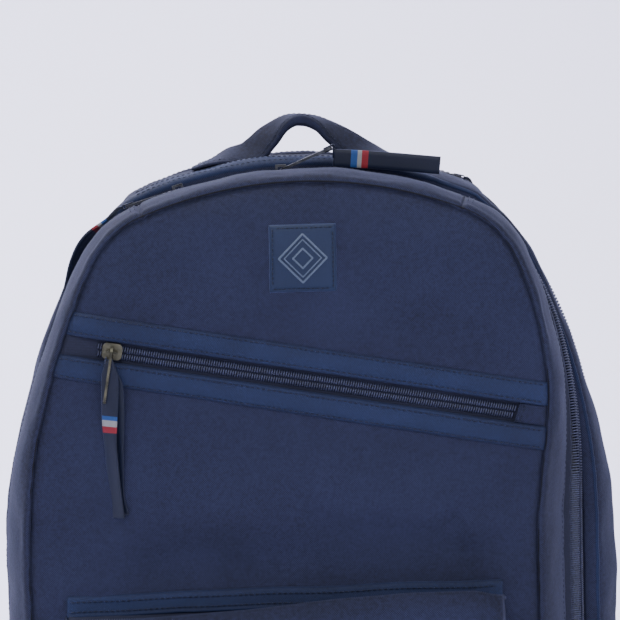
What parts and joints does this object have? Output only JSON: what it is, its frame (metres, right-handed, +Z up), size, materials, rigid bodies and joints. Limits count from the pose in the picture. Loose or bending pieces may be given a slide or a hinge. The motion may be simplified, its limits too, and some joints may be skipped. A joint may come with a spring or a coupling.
{
  "type": "canvas daypack",
  "caption": "Round-topped canvas daypack with a slanted front zip, zipped front pocket, top zips, carry handle and padded shoulder straps.",
  "frame": {"origin": "middle of the flat underside", "axes": "+Z up, -Y towards the front panel, +X towards the viewer's right when facing the front"},
  "size_m": [0.3522, 0.2166, 0.45],
  "materials": {
    "canvas": "plain-woven cotton canvas, matt",
    "facing_tape": "ribbed tape, slight sheen",
    "ribbon": "satin ribbon with three woven stripes",
    "zip_tape": "herringbone zip tape",
    "zip_coil": "spiral nylon coil",
    "pull_metal": "gunmetal, worn at the edges",
    "slider_metal": "gunmetal, worn at the edges",
    "label": "woven satin patch",
    "emblem_thread": "raised light thread",
    "lining": "thin plain lining",
    "foam": "closed-cell foam with a fabric cover",
    "back_mesh": "spacer mesh",
    "buckle_plastic": "fine-grained acetal",
    "webbing": "ribbed polypropylene webbing"
  },
  "bodies": {
    "bag": {"anchor_tab_left": "canvas", "anchor_tab_right": "canvas", "back_foam": "foam", "back_panel": "back_mesh", "bottom_panel": "canvas", "front_gusset_left": "canvas", "front_gusset_right": "canvas", "front_gusset_top": "canvas", "front_panel_lower": "canvas", "front_panel_upper": "canvas", "handle_foot_left": "canvas", "handle_foot_right": "canvas", "label_emblem": "emblem_thread", "label_patch": "label", "laptop_divider": "foam", "laptop_zip_coil": "zip_coil", "laptop_zip_tapes": "zip_tape", "lock_loop_left": "webbing", "lock_loop_right": "webbing", "lower_webbing_left": "webbing", "lower_webbing_right": "webbing", "main_lining": "lining", "main_zip_coil": "zip_coil", "main_zip_facing": "facing_tape", "main_zip_tapes": "zip_tape", "middle_gusset": "canvas", "pocket_face": "canvas", "pocket_gusset": "canvas", "pocket_top_tape": "facing_tape", "pocket_zip_coil": "zip_coil", "pocket_zip_tape": "zip_tape", "rear_gusset": "canvas", "shoulder_pad_left": "back_mesh", "shoulder_pad_right": "back_mesh", "slant_facing_lower": "facing_tape", "slant_facing_upper": "facing_tape", "slant_pocket_bag": "lining", "slant_zip_coil": "zip_coil", "slant_zip_tab": "canvas", "slant_zip_tape": "zip_tape", "strap_yoke": "canvas"},
    "handle": {"carry_handle": "canvas"},
    "left_lock": {"ladder_lock_left": "buckle_plastic"},
    "right_lock": {"ladder_lock_right": "buckle_plastic"},
    "main_left_slider_body": {"main_left_slider": "slider_metal"},
    "main_left_pull_body": {"main_left_blade": "pull_metal", "main_left_ribbon": "ribbon"},
    "main_right_slider_body": {"main_right_slider": "slider_metal"},
    "main_right_pull_body": {"main_right_blade": "pull_metal", "main_right_ribbon": "ribbon"},
    "laptop_slider_body": {"laptop_slider": "slider_metal"},
    "laptop_pull_body": {"laptop_blade": "pull_metal", "laptop_ribbon": "ribbon"},
    "slant_slider_body": {"slant_slider": "slider_metal"},
    "slant_pull_body": {"slant_blade": "pull_metal", "slant_ribbon": "ribbon"},
    "pocket_slider_body": {"pocket_slider": "slider_metal"},
    "pocket_pull_body": {"pocket_blade": "pull_metal", "pocket_ribbon": "ribbon"}
  },
  "joints": [
    {"name": "handle_tip", "type": "hinge", "parent": "bag", "child": "handle", "pos_m": [0, 0.004, 0.42998], "axis": [1, 0, 0], "range_deg": [-45, 45]},
    {"name": "main_left_travel", "type": "hinge", "parent": "bag", "child": "main_left_slider_body", "pos_m": [0, -0.022, 0.17], "axis": [0, 1, 0], "range_deg": [-5.5, 8], "deforming": ["main_left_ribbon"]},
    {"name": "main_right_travel", "type": "hinge", "parent": "bag", "child": "main_right_slider_body", "pos_m": [0, -0.022, 0.17], "axis": [0, 1, 0], "range_deg": [-1, 21], "deforming": ["main_right_ribbon"]},
    {"name": "laptop_travel", "type": "hinge", "parent": "bag", "child": "laptop_slider_body", "pos_m": [0, 0.03, 0.165], "axis": [0, 1, 0], "range_deg": [-34, 6.5], "deforming": ["laptop_ribbon"]},
    {"name": "slant_travel", "type": "slide", "parent": "bag", "child": "slant_slider_body", "axis": [0.9848, 0, -0.1736], "range_m": [0, 0.212]},
    {"name": "pocket_travel", "type": "slide", "parent": "bag", "child": "pocket_slider_body", "axis": [1, 0, 0], "range_m": [-0.195, 0]},
    {"name": "main_left_flip", "type": "hinge", "parent": "main_left_slider_body", "child": "main_left_pull_body", "pos_m": [-0.06924, -0.022, 0.40965], "axis": [0, 1, 0], "range_deg": [0, 150]},
    {"name": "main_right_flip", "type": "hinge", "parent": "main_right_slider_body", "child": "main_right_pull_body", "pos_m": [-0.0112, -0.022, 0.4192], "axis": [0, -1, 0], "range_deg": [-20, 120]},
    {"name": "laptop_flip", "type": "hinge", "parent": "laptop_slider_body", "child": "laptop_pull_body", "pos_m": [0.06308, 0.03, 0.41666], "axis": [0, -1, 0], "range_deg": [0, 150]},
    {"name": "slant_flip", "type": "hinge", "parent": "slant_slider_body", "child": "slant_pull_body", "pos_m": [-0.10636, -0.0719, 0.32475], "axis": [-0.9848, 0, 0.1736], "range_deg": [0, 150]},
    {"name": "pocket_flip", "type": "hinge", "parent": "pocket_slider_body", "child": "pocket_pull_body", "pos_m": [0.096, -0.08216, 0.17889], "axis": [0, 0.8742, 0.4856], "range_deg": [0, 150]},
    {"name": "left_lock_tilt", "type": "hinge", "parent": "bag", "child": "left_lock", "pos_m": [-0.08661, 0.0931, 0.13528], "axis": [0.9877, 0, -0.1564], "range_deg": [0, 35]},
    {"name": "right_lock_tilt", "type": "hinge", "parent": "bag", "child": "right_lock", "pos_m": [0.08661, 0.0931, 0.13528], "axis": [0.9877, 0, 0.1564], "range_deg": [0, 35]}
  ]
}
